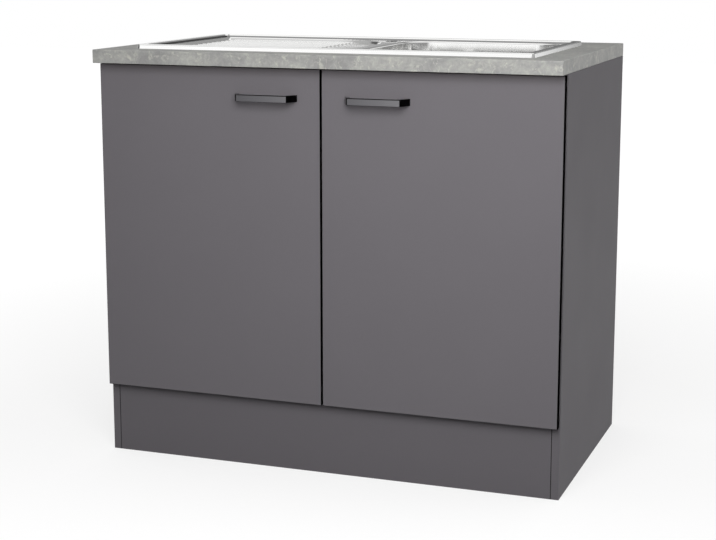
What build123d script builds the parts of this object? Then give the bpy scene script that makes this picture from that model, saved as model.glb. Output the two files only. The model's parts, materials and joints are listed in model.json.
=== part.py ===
"""Kitchen sink unit, 1000 mm wide: carcass on a plinth, two hinged doors, worktop and inset steel sink.

Millimetres. X runs to the right, Y to the back and Z up. The origin is on the floor, in the middle
of the footprint: the worktop's front edge is at minus Y and its back edge at plus Y.
"""

from build123d import *
from math import atan2, cos, degrees, hypot, radians, sin, tan
import os

os.makedirs("parts", exist_ok=True)

# ---------------------------------------------------------------- driving sizes
unit_width = 1000.0
worktop_depth = 600.0
worktop_thickness = 28.0
edge_strip_thickness = 2.0
edge_strip_rounding = 1.5
carcass_height = 852.0
panel_thickness = 16.0
front_overhang = 47.0
plinth_height = 150.0
plinth_end_gap = 1.4
rail_height = 80.0
back_thickness = 3.0
back_inset = 12.0
back_top = 450.0
groove_depth = 6.0
groove_clearance = 0.2

door_thickness = 16.0
door_standoff = 3.0
door_gap = 4.0
door_side_reveal = 2.0
door_top_reveal = 3.0
door_bottom_reveal = 2.0
door_edge_rounding = 0.8

handle_bar_length = 112.0
handle_hole_spacing = 128.0
handle_height = 14.0
handle_projection = 28.0
handle_bar_thickness = 5.0
handle_foot_width = 10.0
handle_rounding = 1.6
handle_edge_rounding = 0.6
handle_centre_from_gap = 118.0
handle_drop = 59.5

hinge_end_distance = 110.0
cup_radius = 17.4
cup_depth = 12.5
cup_wall = 0.9
cup_centre_from_edge = 22.5
cup_flange_thickness = 1.0
cup_rim = 1.0
cup_ear_margin = 4.5
cup_ear_reach = 16.0
cup_ear_overlap = 2.0
cup_screw_offset = 9.5
cup_screw_half_spacing = 22.5
pin_radius = 1.5
pin_fit = 0.05
arm_pin_inset = 15.0
cup_pin_inset = 11.0
cup_pin_depth = 4.0
link_thickness = 3.0
link_half_height = 7.0
link_arm_boss = 2.9
link_cup_boss = 2.6
link_knee = (4.0, 5.0)
arm_cheek_gap = 0.3
arm_cheek = 1.5
arm_width = 10.0
arm_length = 60.0
arm_tip_radius = 3.4
arm_shoulder = 4.0
plate_base = 2.5
plate_length = 44.0
plate_setback = 37.0
plate_screw_half_spacing = 16.0
plate_half_height = 9.0
plate_wing_margin = 8.0
plate_wing_width = 12.0
plate_block_margin = 2.0

sink_width = 860.0
sink_depth = 435.0
sink_setback = 62.0
sheet = 1.0
rim_height = 9.0
rim_band = 20.0
rim_corner_radius = 8.0
rim_edge_radius = 2.5
rim_outer_slope = 12.0
rim_inner_slope = 45.0
deck_drop = 5.0
cutout_margin = 10.0
cutout_corner_radius = 12.0
bowl_width = 356.0
bowl_depth = 155.0
bowl_side_margin = 29.0
bowl_front_margin = 30.0
bowl_back_margin = 38.0
bowl_corner_radius = 65.0
bowl_bottom_radius = 25.0
bowl_lip_radius = 4.0
bowl_draft = 3.0
drainer_margin = 35.0
drainer_to_bowl = 27.0
drainer_recess = 6.0
drainer_corner_radius = 25.0
drainer_swept_radius = 140.0
drainer_draft = 25.0
drainer_lip_radius = 3.0
rib_end_margin = 20.0
rib_end_setback = 95.0
rib_pitch = 24.0
rib_width = 10.0
rib_rise = 2.4
rib_rounding = 2.0
tap_hole_radius = 17.5
tap_hole_from_bowl = 27.0
tap_hole_from_back = 69.0
waste_hole_clearance = 2.0
overflow_drop = 60.0

seal_width = 6.0
seal_gap = 0.5
clip_width = 20.0
clip_thickness = 1.5
clip_gap = 1.5
clip_reach = 8.0
clip_drop = 7.0
clip_screw_radius = 2.0
clip_screw_length = 16.0
clip_screw_head_radius = 3.4
clip_spread = 300.0
clip_side_spread = 120.0

flange_lap = 10.0
flange_thickness = 1.2
strainer_radius = 43.0
strainer_wall = 1.2
strainer_depth = 42.0
basket_seat_depth = 6.0
thread_depth = 18.0
neck_radius = 23.9
neck_length = 20.0
gasket_thickness = 3.0
lock_ring_height = 10.0
lock_ring_lap = 1.0
lock_ring_notches = 8
basket_depth = 28.0
basket_lip = 2.6
basket_hole_radius = 1.75
basket_hole_rows = 3
basket_holes_in_first_row = 12
knob_radius = 9.0
knob_stem_radius = 4.0
stopper_thickness = 2.5

overflow_plate_holes = 8
overflow_plate_hole_ring = 10.2
overflow_body_radius = 15.0
overflow_lap = 2.0
overflow_body_length = 28.0
overflow_nozzle_set = 16.0
overflow_screw_length = 21.0
hose_nozzle_radius = 10.0
hose_nozzle_length = 15.0
hose_wall = 1.5
hose_bend_radius = 30.0
waste_inlet_drop = 29.0

pipe_radius = 20.0
pipe_wall = 1.8
trap_bend_radius = 38.0
trap_joint_height = 574.0
trap_leg = 34.0
trap_rise = 28.0
collar_height = 29.0
nut_radius = 30.0
nut_height = 19.0
nut_lip = 4.0
nut_grips = 12
neck_clearance = 0.5

cam_setback = 24.0
bottom_cam_margin = 60.0
cam_radius = 7.4
cam_height = 12.2
cam_slot_width = 1.5
cam_slot_depth = 1.0
bolt_radius = 3.0
bolt_thread_radius = 2.5
bolt_thread_length = 10.0
dowel_radius = 4.0
dowel_length = 30.0
dowel_in_side = 10.8
dowel_step = 32.0
dowel_chamfer = 1.0
bracket_leg = 30.0
bracket_thickness = 3.0
bracket_width = 28.0
bracket_hole_distance = 18.0
bracket_rib_reach = 24.0
bracket_spread_share = 0.3
board_screw_radius = 1.75
board_screw_bite = 10.0
board_screw_head = 3.6
board_screw_head_height = 1.6
handle_screw_radius = 2.0
handle_screw_bite = 4.5
buffer_radius = 4.0
buffer_margin = 3.0

fit = 0.1
seat_gap = 0.3
overcut = 1.0

# ---------------------------------------------------------------- planes and lines that the pieces share
half_width = unit_width / 2
inner_x = half_width - panel_thickness
back_y = worktop_depth / 2
worktop_front_y = -worktop_depth / 2
carcass_front_y = worktop_front_y + front_overhang
door_back_y = carcass_front_y - door_standoff
door_front_y = door_back_y - door_thickness
worktop_top = carcass_height + worktop_thickness

back_panel_y = back_y - back_inset - back_thickness
rail_bottom = carcass_height - rail_height
door_bottom = plinth_height + door_bottom_reveal
door_top = carcass_height - door_top_reveal
door_outer_x = half_width - door_side_reveal
door_inner_x = door_gap / 2
hinge_heights = (door_bottom + hinge_end_distance, door_top - hinge_end_distance)
handle_z = door_top - handle_drop
handle_x = door_inner_x + handle_centre_from_gap

sink_front_y = worktop_front_y + sink_setback
sink_centre = (0, sink_front_y + sink_depth / 2)
rim_top = worktop_top + rim_height
deck_top = rim_top - deck_drop
cutout_x = sink_width / 2 - cutout_margin
cutout_front_y = sink_front_y + cutout_margin
cutout_back_y = sink_front_y + sink_depth - cutout_margin
bowl_length = sink_depth - bowl_front_margin - bowl_back_margin
bowl_centre = (
    sink_width / 2 - bowl_side_margin - bowl_width / 2,
    sink_front_y + bowl_front_margin + bowl_length / 2,
)
bowl_left_x = bowl_centre[0] - bowl_width / 2
bowl_back_y = bowl_centre[1] + bowl_length / 2
bowl_floor = deck_top - bowl_depth
drainer_x = (drainer_margin - sink_width / 2, bowl_left_x - drainer_to_bowl)
drainer_y = (sink_front_y + drainer_margin, sink_front_y + sink_depth - drainer_margin)
drainer_length = drainer_x[1] - drainer_x[0]
drainer_breadth = drainer_y[1] - drainer_y[0]
tap_hole = (bowl_left_x - tap_hole_from_bowl, sink_front_y + sink_depth - tap_hole_from_back)
waste_hole_radius = strainer_radius + waste_hole_clearance
flange_radius = waste_hole_radius + flange_lap
gasket_radius = flange_radius - lock_ring_lap
lock_ring_radius = flange_radius + lock_ring_lap
overflow_hole_radius = overflow_body_radius - overflow_lap
overflow_plate_radius = overflow_body_radius + overflow_lap

SIDES = (("left", -1), ("right", 1))
DOWN = (Align.CENTER, Align.CENTER, Align.MAX)
UP = (Align.CENTER, Align.CENTER, Align.MIN)


# ---------------------------------------------------------------- shared building steps
def middle(span):
    """The middle of a pair of limits."""
    return (span[0] + span[1]) / 2


def block(x_span, y_span, z_span, mode=Mode.ADD):
    """A box between two corners, in the part that is being made."""
    with Locations((middle(x_span), middle(y_span), middle(z_span))):
        Box(
            abs(x_span[1] - x_span[0]),
            abs(y_span[1] - y_span[0]),
            abs(z_span[1] - z_span[0]),
            mode=mode,
        )


def bores(places, radius, depth):
    """Round bores that sink from each place, against the direction it faces."""
    with Locations(*places):
        Cylinder(radius, depth + overcut, align=DOWN, mode=Mode.SUBTRACT)


def facing(point, direction):
    """A place at a point, looking along a direction."""
    return Plane(origin=point, z_dir=direction).location


def raised(places, height):
    """The same places, moved along the way they face."""
    return [place * Pos(0, 0, height) for place in places]


def screw(shank_radius, shank_length, head_radius, head_height):
    """A flat-headed screw: its head stands on the origin and its shank points down."""
    with BuildPart() as made:
        Cylinder(head_radius, head_height, align=UP)
        chamfer(made.edges().group_by(Axis.Z)[-1], head_height / 3)
        Cylinder(shank_radius, shank_length, align=DOWN)
        with Locations((0, 0, head_height)):
            Box(head_radius, head_radius / 4, head_height / 2, align=DOWN, mode=Mode.SUBTRACT)
            Box(head_radius / 4, head_radius, head_height / 2, align=DOWN, mode=Mode.SUBTRACT)
    return made.part


def ring(outer_radius, inner_radius, height):
    """A plain ring that stands on the origin."""
    with BuildPart() as made:
        with BuildSketch():
            Circle(outer_radius)
            Circle(inner_radius, mode=Mode.SUBTRACT)
        extrude(amount=height)
    return made.part


def tube(points, bend_radius, outer_radius, inner_radius):
    """A round tube along straight runs that are joined by bends of one radius."""
    with BuildPart() as made:
        with BuildLine() as route:
            FilletPolyline(*points, radius=bend_radius)
        with BuildSketch(route.line ^ 0):
            Circle(outer_radius)
            Circle(inner_radius, mode=Mode.SUBTRACT)
        sweep(path=route.line)
    return made.part


# ---------------------------------------------------------------- joints between the carcass boards
cam_depth = cam_height + seat_gap
bottom_mid_z = plinth_height + panel_thickness / 2
front_rail_y = carcass_front_y + panel_thickness / 2
rear_rail_y = back_y - panel_thickness / 2
rail_cam_z = rail_bottom + rail_height / 3
rail_dowel_z = rail_cam_z + dowel_step
bottom_cam_y = (carcass_front_y + bottom_cam_margin, back_panel_y - bottom_cam_margin)
bottom_dowel_y = (bottom_cam_y[0] + dowel_step, bottom_cam_y[1] - dowel_step)

# each cam: where its bolt crosses the board's end, and the way its pocket opens
bottom_cams = [((y, bottom_mid_z), (0, 0, -1)) for y in bottom_cam_y]
front_cams = [((front_rail_y, rail_cam_z), (0, 1, 0))]
rear_cams = [((rear_rail_y, rail_cam_z), (0, -1, 0))]
bottom_dowels = [(y, bottom_mid_z) for y in bottom_dowel_y]
front_dowels = [(front_rail_y, rail_dowel_z)]
rear_dowels = [(rear_rail_y, rail_dowel_z)]
all_cams = bottom_cams + front_cams + rear_cams
all_dowels = bottom_dowels + front_dowels + rear_dowels


def cam_places(cams):
    """The mouths of the cam pockets, on both ends of a board."""
    half = panel_thickness / 2
    places = []
    for (y, z), (nx, ny, nz) in cams:
        for side, sign in SIDES:
            x = sign * (inner_x - cam_setback)
            mouth = (x, y + ny * half, z + nz * half)
            places.append(Plane(origin=mouth, x_dir=(1, 0, 0), z_dir=(nx, ny, nz)).location)
    return places


def end_places(points, sign):
    """Points on the inner face of one side panel, looking into the cabinet."""
    return [facing((sign * inner_x, y, z), (-sign, 0, 0)) for y, z in points]


def joint_cuts(cams, dowels):
    """The cam pockets, bolt bores and dowel bores of one board."""
    bores(cam_places(cams), cam_radius + fit, cam_depth)
    bolt_points = [point for point, way in cams]
    for side, sign in SIDES:
        with Locations(*end_places(bolt_points, sign)):
            Cylinder(bolt_radius + fit, cam_setback, align=UP, mode=Mode.SUBTRACT)
        with Locations(*end_places(dowels, sign)):
            Cylinder(
                dowel_radius + fit,
                dowel_length - dowel_in_side + seat_gap,
                align=UP,
                mode=Mode.SUBTRACT,
            )


# ---------------------------------------------------------------- places of the brackets and their screws
worktop_bracket_y = bracket_spread_share * worktop_depth
outer_bracket_x = bracket_spread_share * unit_width
plinth_back_y = carcass_front_y + panel_thickness


def bracket_frame(corner, out):
    """A bracket's corner: its flat leg lies under a board along out, the other hangs down."""
    return Plane(origin=corner, x_dir=out, z_dir=(0, 0, 1)).location


worktop_bracket_frames = [
    bracket_frame((sign * inner_x, y, carcass_height), (-sign, 0, 0))
    for side, sign in SIDES
    for y in (-worktop_bracket_y, worktop_bracket_y)
]
plinth_bracket_frames = [
    bracket_frame((x, plinth_back_y, plinth_height), (0, 1, 0))
    for x in (-outer_bracket_x, 0, outer_bracket_x)
]


def bracket_screw_places(frames):
    """Both screws of each bracket: one up through the flat leg, one through the hanging leg."""
    up = Location((bracket_hole_distance, 0, -bracket_thickness), (180, 0, 0))
    along = Location((bracket_thickness, 0, -bracket_hole_distance), (0, 90, 0))
    return [frame * turn for frame in frames for turn in (up, along)]


def bracket_bores(frames):
    """The bores that the bracket screws need in the boards."""
    bores(
        bracket_screw_places(frames),
        board_screw_radius + fit,
        bracket_thickness + board_screw_bite + seat_gap,
    )


def corner_bracket():
    """An angle bracket with one rib, its corner at the origin."""
    with BuildPart() as made:
        with BuildSketch(Plane.XZ) as profile:
            with BuildLine():
                Polyline(
                    (0, 0),
                    (bracket_leg, 0),
                    (bracket_leg, -bracket_thickness),
                    (bracket_thickness, -bracket_thickness),
                    (bracket_thickness, -bracket_leg),
                    (0, -bracket_leg),
                    close=True,
                )
            make_face()
        extrude(amount=bracket_width / 2, both=True)
        for edge in (-1, 1):
            rib_y = edge * (bracket_width - bracket_thickness) / 2
            with BuildSketch(Plane.XZ.offset(-rib_y)):
                Polygon(
                    (bracket_thickness, -bracket_thickness),
                    (bracket_rib_reach, -bracket_thickness),
                    (bracket_thickness, -bracket_rib_reach),
                    align=None,
                )
            extrude(amount=bracket_thickness / 2, both=True)
        own_screws = bracket_screw_places([Location((0, 0, 0))])
        bores(own_screws, board_screw_radius + fit, bracket_thickness)
    return made.part


# ---------------------------------------------------------------- hinge places
def hinge_plane(sign, z):
    """Across the hinge from above: local x from the cabinet's outer face inwards, local y forwards."""
    return Plane(
        origin=(sign * half_width, carcass_front_y, z),
        x_dir=(-sign, 0, 0),
        z_dir=(0, 0, sign),
    )


arm_pin = (panel_thickness + arm_pin_inset, door_standoff)
cup_pin = (door_side_reveal + cup_pin_inset, door_standoff + cup_pin_depth)
knee = (cup_pin[0] + link_knee[0], cup_pin[1] + link_knee[1])
cup_centre = door_side_reveal + cup_centre_from_edge
cup_x = half_width - cup_centre
arm_outer = arm_pin[0] + link_thickness
arm_inner = arm_outer - arm_width
arm_skin = arm_outer - arm_cheek
cheek_inside = link_half_height + arm_cheek_gap
cheek_outside = cheek_inside + arm_cheek
cup_ear_half_height = cup_screw_half_spacing + cup_ear_margin
plate_wing_half_height = plate_screw_half_spacing + plate_wing_margin


def cup_places(sign, height):
    """The hinge cups' axes on the door's back face, looking into the cabinet."""
    return [facing((sign * cup_x, door_back_y, z), (0, 1, 0)) for z in height]


def cup_screw_places(sign):
    """The screws that hold the cups, on the cup flanges."""
    x = sign * (cup_x - cup_screw_offset)
    y = door_back_y + cup_flange_thickness
    return [
        facing((x, y, z + side * cup_screw_half_spacing), (0, 1, 0))
        for z in hinge_heights
        for side in (-1, 1)
    ]


def plate_screw_places(sign):
    """The screws that hold the mounting plates, on the plates' wings."""
    x = sign * (inner_x - plate_base)
    y = carcass_front_y + plate_setback
    return [
        facing((x, y, z + side * plate_screw_half_spacing), (-sign, 0, 0))
        for z in hinge_heights
        for side in (-1, 1)
    ]


def handle_screw_places(sign):
    """The handle screws' heads, on the door's back face."""
    return [
        facing((sign * handle_x + side * handle_hole_spacing / 2, door_back_y, handle_z), (0, 1, 0))
        for side in (-1, 1)
    ]


# ---------------------------------------------------------------- side panels
def side_panel(sign):
    """One side panel, from the floor to the worktop, with its groove and bores on the inner face."""
    with BuildPart() as made:
        block(
            (sign * half_width, sign * inner_x),
            (carcass_front_y, back_y),
            (0, carcass_height),
        )
        block(
            (sign * (inner_x - overcut), sign * (inner_x + groove_depth)),
            (back_panel_y - groove_clearance, back_panel_y + back_thickness + groove_clearance),
            (plinth_height - groove_clearance, back_top + groove_clearance),
            mode=Mode.SUBTRACT,
        )
        bolt_points = [point for point, way in all_cams]
        bores(end_places(bolt_points, sign), bolt_thread_radius + fit, bolt_thread_length + seat_gap)
        bores(end_places(all_dowels, sign), dowel_radius + fit, dowel_in_side + seat_gap)
        bores(
            plate_screw_places(sign),
            board_screw_radius + fit,
            plate_base + board_screw_bite + seat_gap,
        )
        bracket_bores(worktop_bracket_frames)
    return made.part


with BuildPart() as side_panel_left:
    add(side_panel(-1))
side_panel_left.part.label = "side_panel_left"
export_step(side_panel_left.part, "parts/side_panel_left.step")

with BuildPart() as side_panel_right:
    add(side_panel(1))
side_panel_right.part.label = "side_panel_right"
export_step(side_panel_right.part, "parts/side_panel_right.step")

# ---------------------------------------------------------------- boards between the sides
with BuildPart() as bottom_panel:
    block(
        (-inner_x, inner_x),
        (carcass_front_y, back_panel_y),
        (plinth_height, plinth_height + panel_thickness),
    )
    joint_cuts(bottom_cams, bottom_dowels)
    bracket_bores(plinth_bracket_frames)
bottom_panel.part.label = "bottom_panel"
export_step(bottom_panel.part, "parts/bottom_panel.step")

with BuildPart() as front_rail:
    block(
        (-inner_x, inner_x),
        (carcass_front_y, carcass_front_y + panel_thickness),
        (rail_bottom, carcass_height),
    )
    joint_cuts(front_cams, front_dowels)
front_rail.part.label = "front_rail"
export_step(front_rail.part, "parts/front_rail.step")

with BuildPart() as rear_rail:
    block(
        (-inner_x, inner_x),
        (back_y - panel_thickness, back_y),
        (rail_bottom, carcass_height),
    )
    joint_cuts(rear_cams, rear_dowels)
rear_rail.part.label = "rear_rail"
export_step(rear_rail.part, "parts/rear_rail.step")

with BuildPart() as back_panel:
    block(
        (-inner_x - groove_depth + groove_clearance, inner_x + groove_depth - groove_clearance),
        (back_panel_y, back_panel_y + back_thickness),
        (plinth_height, back_top),
    )
back_panel.part.label = "back_panel"
export_step(back_panel.part, "parts/back_panel.step")

with BuildPart() as plinth_board:
    block(
        (plinth_end_gap - inner_x, inner_x - plinth_end_gap),
        (carcass_front_y, plinth_back_y),
        (0, plinth_height),
    )
    bracket_bores(plinth_bracket_frames)
plinth_board.part.label = "plinth_board"
export_step(plinth_board.part, "parts/plinth_board.step")

# ---------------------------------------------------------------- carcass fittings
with BuildPart() as cam_body:
    Cylinder(cam_radius, cam_height, align=DOWN)
    with Locations((0, 0, -panel_thickness / 2)):
        Box(2 * cam_radius, 2 * (bolt_radius + fit), 2 * (bolt_radius + fit), mode=Mode.SUBTRACT)
    Box(cam_radius, cam_slot_width, 2 * cam_slot_depth, mode=Mode.SUBTRACT)
    Box(cam_slot_width, cam_radius, 2 * cam_slot_depth, mode=Mode.SUBTRACT)

with BuildPart() as cam_locks:
    with Locations(*cam_places(all_cams)):
        add(cam_body.part)
cam_locks.part.label = "cam_locks"
export_step(cam_locks.part, "parts/cam_locks.step")

with BuildPart() as cam_bolt:
    Cylinder(bolt_thread_radius, bolt_thread_length, align=DOWN)
    Cylinder(bolt_radius, cam_setback - bolt_radius, align=UP)

with BuildPart() as cam_bolts:
    for side, sign in SIDES:
        with Locations(*end_places([point for point, way in all_cams], sign)):
            add(cam_bolt.part)
cam_bolts.part.label = "cam_bolts"
export_step(cam_bolts.part, "parts/cam_bolts.step")

with BuildPart() as dowel:
    Cylinder(dowel_radius, dowel_length, align=UP)
    chamfer(dowel.edges().filter_by(GeomType.CIRCLE), dowel_chamfer)

with BuildPart() as dowels:
    for side, sign in SIDES:
        with Locations(*raised(end_places(all_dowels, sign), -dowel_in_side)):
            add(dowel.part)
dowels.part.label = "dowels"
export_step(dowels.part, "parts/dowels.step")

bracket = corner_bracket()
bracket_screw = screw(
    board_screw_radius,
    bracket_thickness + board_screw_bite,
    board_screw_head,
    board_screw_head_height,
)

with BuildPart() as plinth_brackets:
    with Locations(*plinth_bracket_frames):
        add(bracket)
plinth_brackets.part.label = "plinth_brackets"
export_step(plinth_brackets.part, "parts/plinth_brackets.step")

with BuildPart() as plinth_bracket_screws:
    with Locations(*bracket_screw_places(plinth_bracket_frames)):
        add(bracket_screw)
plinth_bracket_screws.part.label = "plinth_bracket_screws"
export_step(plinth_bracket_screws.part, "parts/plinth_bracket_screws.step")

with BuildPart() as worktop_brackets:
    with Locations(*worktop_bracket_frames):
        add(bracket)
worktop_brackets.part.label = "worktop_brackets"
export_step(worktop_brackets.part, "parts/worktop_brackets.step")

with BuildPart() as worktop_bracket_screws:
    with Locations(*bracket_screw_places(worktop_bracket_frames)):
        add(bracket_screw)
worktop_bracket_screws.part.label = "worktop_bracket_screws"
export_step(worktop_bracket_screws.part, "parts/worktop_bracket_screws.step")

# ---------------------------------------------------------------- worktop
with BuildPart() as worktop:
    block(
        (edge_strip_thickness - half_width, half_width - edge_strip_thickness),
        (worktop_front_y + edge_strip_thickness, back_y),
        (carcass_height, worktop_top),
    )
    with BuildSketch(Plane.XY.offset(carcass_height)):
        with Locations(sink_centre):
            RectangleRounded(
                sink_width - 2 * cutout_margin,
                sink_depth - 2 * cutout_margin,
                cutout_corner_radius,
            )
    extrude(amount=worktop_thickness, mode=Mode.SUBTRACT)
    bracket_bores(worktop_bracket_frames)
worktop.part.label = "worktop"
export_step(worktop.part, "parts/worktop.step")

with BuildPart() as front_strip:
    block(
        (-half_width, half_width),
        (worktop_front_y, worktop_front_y + edge_strip_thickness),
        (carcass_height, worktop_top),
    )
    long_edges = front_strip.edges().filter_by(Axis.X).group_by(Axis.Y)[0]
    fillet(long_edges, edge_strip_rounding)

with BuildPart() as side_strip:
    block(
        (half_width - edge_strip_thickness, half_width),
        (worktop_front_y + edge_strip_thickness, back_y),
        (carcass_height, worktop_top),
    )
    fillet(side_strip.edges().filter_by(Axis.Y).group_by(Axis.X)[-1], edge_strip_rounding)

with BuildPart() as worktop_front_strip:
    add(front_strip.part)
worktop_front_strip.part.label = "worktop_front_strip"
export_step(worktop_front_strip.part, "parts/worktop_front_strip.step")

with BuildPart() as worktop_side_strips:
    add(side_strip.part)
    mirror(about=Plane.YZ)
worktop_side_strips.part.label = "worktop_side_strips"
export_step(worktop_side_strips.part, "parts/worktop_side_strips.step")


# ---------------------------------------------------------------- sink
def rim_form(shrink, foot):
    """The raised rim as a block, smaller by shrink at its leaning sides and top, down to foot."""
    lean = radians(rim_outer_slope)
    inset = shrink / cos(lean) + (foot - worktop_top) * tan(lean)
    with BuildPart() as made:
        with BuildSketch(Plane.XY.offset(foot)):
            with Locations(sink_centre):
                RectangleRounded(
                    sink_width - 2 * inset,
                    sink_depth - 2 * inset,
                    rim_corner_radius - inset,
                )
        extrude(amount=rim_top - shrink - foot, taper=rim_outer_slope)
        fillet(made.faces().sort_by(Axis.Z)[-1].edges(), rim_edge_radius - shrink)
    return made.part


def foot_outset(grow, slope):
    """How far a sloping wall's foot moves out when both the wall and the floor move by grow."""
    return grow * (1 - sin(radians(slope))) / cos(radians(slope))


def bowl_form(grow):
    """The space inside the bowl, larger by grow all round."""
    outset = foot_outset(grow, bowl_draft)
    with BuildPart() as made:
        with BuildSketch(Plane.XY.offset(deck_top - grow)):
            with Locations(bowl_centre):
                RectangleRounded(
                    bowl_width + 2 * outset,
                    bowl_length + 2 * outset,
                    bowl_corner_radius + outset,
                )
        extrude(amount=-bowl_depth, taper=bowl_draft)
        fillet(made.faces().sort_by(Axis.Z)[0].edges(), bowl_bottom_radius + grow)
    return made.part


def drainer_form(grow):
    """The space in the drainer's recess, larger by grow all round."""
    with BuildPart() as made:
        with BuildSketch(Plane.XY.offset(deck_top - grow)) as outline:
            with Locations((middle(drainer_x), middle(drainer_y))):
                Rectangle(drainer_length + 2 * grow, drainer_breadth + 2 * grow)
            swept = outline.vertices().group_by(Axis.X)[-1].sort_by(Axis.Y)[-1]
            plain = outline.vertices().sort_by_distance(swept)[1:]
            fillet(swept, drainer_swept_radius + grow)
            fillet(plain, drainer_corner_radius + grow)
        extrude(amount=-drainer_recess, taper=drainer_draft)
    return made.part


def sink_space(grow, top):
    """All the open space over the sink's skin, larger by grow, up to the level top."""
    outset = foot_outset(grow, rim_inner_slope)
    pocket_width = sink_width - 2 * rim_band
    pocket_depth = sink_depth - 2 * rim_band
    with BuildPart() as made:
        with BuildSketch(Plane.XY.offset(deck_top - grow)):
            with Locations(sink_centre):
                RectangleRounded(
                    pocket_width + 2 * outset,
                    pocket_depth + 2 * outset,
                    rim_corner_radius + outset,
                )
        extrude(amount=top - deck_top + grow, taper=-rim_inner_slope)
        add(bowl_form(grow))
        add(drainer_form(grow))
        deck_edges = made.edges().filter_by(
            lambda edge: abs(edge.center().Z - deck_top + grow) < sheet / 10
        )
        bowl_lip = deck_edges.filter_by(
            lambda edge: abs(edge.center().X - bowl_centre[0]) < bowl_width / 2 + 1.5 * grow
            and abs(edge.center().Y - bowl_centre[1]) < bowl_length / 2 + 1.5 * grow
        )
        drainer_lip = deck_edges.filter_by(
            lambda edge: abs(edge.center().X - middle(drainer_x)) < drainer_length / 2 + 1.5 * grow
            and abs(edge.center().Y - middle(drainer_y)) < drainer_breadth / 2 + 1.5 * grow
        )
        fillet(bowl_lip, bowl_lip_radius - grow)
        fillet(drainer_lip, drainer_lip_radius - grow)
    return made.part


drainer_floor = deck_top - drainer_recess
rib_x = (drainer_x[0] + rib_end_margin, drainer_x[1] - rib_end_setback)
rib_length = rib_x[1] - rib_x[0]
rib_centre = (middle(rib_x), middle(drainer_y))
rib_count = int((drainer_breadth - 2 * rib_end_margin) / rib_pitch) + 1
draft_shift = tan(radians(bowl_draft))
overflow_wall_y = bowl_back_y - overflow_drop * draft_shift
overflow_z = deck_top - overflow_drop
overflow_facing = (0, -cos(radians(bowl_draft)), sin(radians(bowl_draft)))
overflow_place = facing((bowl_centre[0], overflow_wall_y, overflow_z), overflow_facing)

with BuildPart() as drainer_rib:
    with BuildSketch():
        SlotOverall(rib_length, rib_width)
    extrude(amount=rib_rise)
    fillet(drainer_rib.faces().sort_by(Axis.Z)[-1].edges(), rib_rounding)

with BuildPart() as sink:
    add(rim_form(0, worktop_top))
    add(rim_form(sheet, worktop_top - overcut), mode=Mode.SUBTRACT)
    add(sink_space(sheet, rim_top - sheet / 2))
    add(sink_space(0, rim_top + overcut), mode=Mode.SUBTRACT)
    with Locations((rib_centre[0], rib_centre[1], drainer_floor)):
        with GridLocations(0, rib_pitch, 1, rib_count):
            add(drainer_rib.part)
    bores([facing((*bowl_centre, bowl_floor), (0, 0, 1))], waste_hole_radius, sheet)
    bores([facing((*tap_hole, deck_top), (0, 0, 1))], tap_hole_radius, sheet)
    bores([overflow_place], overflow_hole_radius, 2 * sheet)
sink.part.label = "sink"
export_step(sink.part, "parts/sink.step")

with BuildPart() as sink_seal:
    seal_outer = sheet + seal_gap + rim_height * tan(radians(rim_outer_slope))
    seal_inner = seal_outer + seal_width
    with BuildSketch(Plane.XY.offset(worktop_top)):
        with Locations(sink_centre):
            RectangleRounded(
                sink_width - 2 * seal_outer,
                sink_depth - 2 * seal_outer,
                rim_corner_radius - seal_outer,
            )
            Rectangle(
                sink_width - 2 * seal_inner,
                sink_depth - 2 * seal_inner,
                mode=Mode.SUBTRACT,
            )
    extrude(amount=rim_height - sheet - 2 * seat_gap)
sink_seal.part.label = "sink_seal"
export_step(sink_seal.part, "parts/sink_seal.step")

# clip frame: local x points out from the cut-out's edge, local z up, origin under the worktop
clip_points = (
    [((x, cutout_front_y, carcass_height), (0, -1, 0)) for x in (-clip_spread, 0, clip_spread)]
    + [((x, cutout_back_y, carcass_height), (0, 1, 0)) for x in (-clip_spread, 0, clip_spread)]
    + [
        ((sign * cutout_x, sink_centre[1] + along, carcass_height), (sign, 0, 0))
        for side, sign in SIDES
        for along in (-clip_side_spread, clip_side_spread)
    ]
)
clip_frames = [Plane(origin=at, x_dir=out, z_dir=(0, 0, 1)).location for at, out in clip_points]
clip_screw_x = clip_reach - 2 * clip_screw_radius
clip_top = rim_top - sheet - carcass_height

with BuildPart() as sink_clip:
    block(
        (-clip_gap - clip_thickness, -clip_gap),
        (-clip_width / 2, clip_width / 2),
        (-clip_drop, clip_top),
    )
    block(
        (-clip_gap, clip_reach),
        (-clip_width / 2, clip_width / 2),
        (-clip_drop, -clip_drop + clip_thickness),
    )
    bores(
        [facing((clip_screw_x, 0, clip_thickness - clip_drop), (0, 0, 1))],
        clip_screw_radius + fit,
        clip_thickness,
    )

with BuildPart() as sink_clips:
    with Locations(*clip_frames):
        add(sink_clip.part)
sink_clips.part.label = "sink_clips"
export_step(sink_clips.part, "parts/sink_clips.step")

with BuildPart() as clip_screw:
    with Locations((clip_screw_x, 0, 0)):
        Cylinder(clip_screw_radius, clip_screw_length, align=DOWN)
    with Locations((clip_screw_x, 0, -clip_screw_length)):
        Cylinder(clip_screw_head_radius, clip_screw_radius, align=DOWN)

with BuildPart() as sink_clip_screws:
    with Locations(*clip_frames):
        add(clip_screw.part)
sink_clip_screws.part.label = "sink_clip_screws"
export_step(sink_clip_screws.part, "parts/sink_clip_screws.step")

# ---------------------------------------------------------------- waste
waste_top = Pos(bowl_centre[0], bowl_centre[1], bowl_floor)
basket_bore = strainer_radius - 3 * strainer_wall
inlet_z = -waste_inlet_drop
inlet_reach = strainer_radius + hose_nozzle_length
neck_bore = pipe_radius + neck_clearance
neck_end = -strainer_depth - neck_length

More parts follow.
